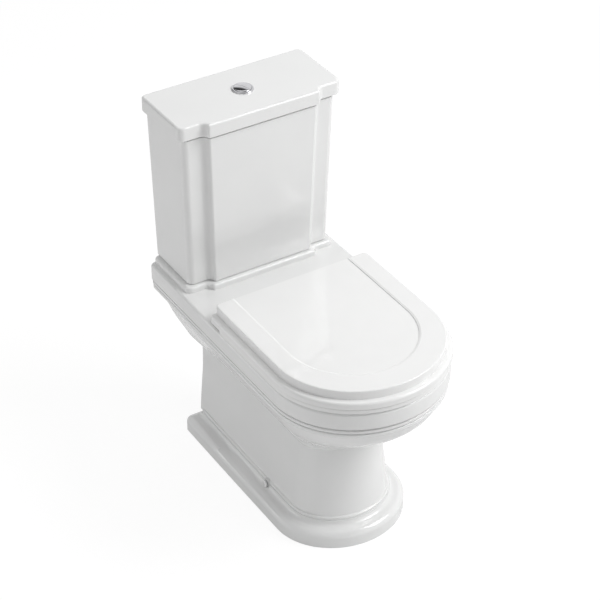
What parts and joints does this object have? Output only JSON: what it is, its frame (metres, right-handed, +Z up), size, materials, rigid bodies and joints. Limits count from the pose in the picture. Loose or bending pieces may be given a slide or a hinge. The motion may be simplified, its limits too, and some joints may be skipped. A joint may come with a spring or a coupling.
{
  "type": "floor-standing toilet",
  "caption": "Close-coupled floor-standing toilet: pan with stepped plinth and rear outlet, breakfront cistern with dual-flush button, hinged seat ring and lid.",
  "frame": {"origin": "on the floor, below the middle of the overall width and depth", "axes": "+Z up, +Y towards the wall behind the cistern, the bowl's front faces -Y, +X to the right of a person facing the front"},
  "size_m": [0.372, 0.667, 0.8011],
  "materials": {
    "pan": "glossy white glaze",
    "cistern": "glossy white glaze",
    "cistern_lid": "glossy white glaze",
    "flush_bezel": "polished chrome",
    "bezel_nut": "moulded white",
    "full_flush_button": "polished chrome",
    "half_flush_button": "polished chrome",
    "flush_valve_base": "moulded white",
    "flush_valve_cage": "moulded white",
    "flush_valve_core": "moulded blue",
    "flush_valve_seal": "matt black",
    "flush_rocker": "moulded grey",
    "flush_valve_washer": "matt black",
    "flush_valve_nut": "moulded white",
    "coupling_gasket": "matt black",
    "fill_valve": "moulded white",
    "float_arm": "moulded grey",
    "fill_float": "moulded white",
    "fill_valve_washer": "matt black",
    "fill_valve_nut": "moulded white",
    "cistern_bolts": "zinc plated",
    "bolt_rubber_washers": "matt black",
    "bolt_steel_washers": "zinc plated",
    "bolt_wing_nuts": "zinc plated",
    "seat_ring": "glossy white",
    "seat_lid": "glossy white",
    "seat_ring_buffers": "soft translucent white",
    "seat_lid_buffers": "soft translucent white",
    "hinge_posts": "polished chrome",
    "hinge_pins": "polished chrome",
    "hinge_studs": "zinc plated",
    "hinge_base_pads": "moulded white",
    "hinge_cone_washers": "matt black",
    "hinge_wing_nuts": "moulded white",
    "floor_brackets": "zinc plated",
    "side_screws": "zinc plated",
    "floor_screws": "zinc plated",
    "fixing_caps": "glossy white"
  },
  "bodies": {
    "pan_and_cistern": {"pan": "pan", "cistern": "cistern", "flush_valve_base": "flush_valve_base", "flush_valve_cage": "flush_valve_cage", "flush_valve_washer": "flush_valve_washer", "flush_valve_nut": "flush_valve_nut", "coupling_gasket": "coupling_gasket", "fill_valve": "fill_valve", "fill_valve_washer": "fill_valve_washer", "fill_valve_nut": "fill_valve_nut", "cistern_bolts": "cistern_bolts", "bolt_rubber_washers": "bolt_rubber_washers", "bolt_steel_washers": "bolt_steel_washers", "bolt_wing_nuts": "bolt_wing_nuts", "hinge_posts": "hinge_posts", "hinge_pins": "hinge_pins", "hinge_studs": "hinge_studs", "hinge_base_pads": "hinge_base_pads", "hinge_cone_washers": "hinge_cone_washers", "hinge_wing_nuts": "hinge_wing_nuts", "floor_brackets": "floor_brackets", "side_screws": "side_screws", "floor_screws": "floor_screws", "fixing_caps": "fixing_caps"},
    "ring": {"seat_ring": "seat_ring", "seat_ring_buffers": "seat_ring_buffers"},
    "seat_cover": {"seat_lid": "seat_lid", "seat_lid_buffers": "seat_lid_buffers"},
    "tank_cover": {"cistern_lid": "cistern_lid", "flush_bezel": "flush_bezel", "bezel_nut": "bezel_nut"},
    "full_button": {"full_flush_button": "full_flush_button"},
    "half_button": {"half_flush_button": "half_flush_button"},
    "valve_core": {"flush_valve_core": "flush_valve_core", "flush_valve_seal": "flush_valve_seal"},
    "rocker": {"flush_rocker": "flush_rocker"},
    "float": {"float_arm": "float_arm", "fill_float": "fill_float"}
  },
  "joints": [
    {"name": "seat_ring_hinge", "type": "hinge", "parent": "pan_and_cistern", "child": "ring", "pos_m": [0, 0.06, 0.4356], "axis": [1, 0, 0], "range_deg": [-94, 0]},
    {"name": "seat_lid_hinge", "type": "hinge", "parent": "ring", "child": "seat_cover", "pos_m": [0, 0.06, 0.4356], "axis": [-1, 0, 0], "range_deg": [0, 98]},
    {"name": "cistern_lid_lift", "type": "slide", "parent": "pan_and_cistern", "child": "tank_cover", "axis": [0, 0, 1], "range_m": [0, 0.12]},
    {"name": "full_flush_press", "type": "slide", "parent": "tank_cover", "child": "full_button", "axis": [0, 0, -1], "range_m": [0, 0.005], "stiffness_N_per_m": 400},
    {"name": "half_flush_press", "type": "slide", "parent": "tank_cover", "child": "half_button", "axis": [0, 0, -1], "range_m": [0, 0.005], "stiffness_N_per_m": 400},
    {"name": "flush_core_lift", "type": "slide", "parent": "pan_and_cistern", "child": "valve_core", "axis": [0, 0, 1], "range_m": [0, 0.01]},
    {"name": "flush_rocker_tilt", "type": "hinge", "parent": "pan_and_cistern", "child": "rocker", "pos_m": [0.004, 0.2385, 0.71], "axis": [0, -1, 0], "range_deg": [0, 26]},
    {"name": "float_swing", "type": "hinge", "parent": "pan_and_cistern", "child": "float", "pos_m": [0.099, 0.2505, 0.702], "axis": [0, 1, 0], "range_deg": [0, 20]}
  ],
  "couplings": [
    {"joint": "flush_core_lift", "follows": "full_flush_press", "ratio": 2},
    {"joint": "flush_rocker_tilt", "follows": "full_flush_press", "rad_per_m": 83.33}
  ]
}
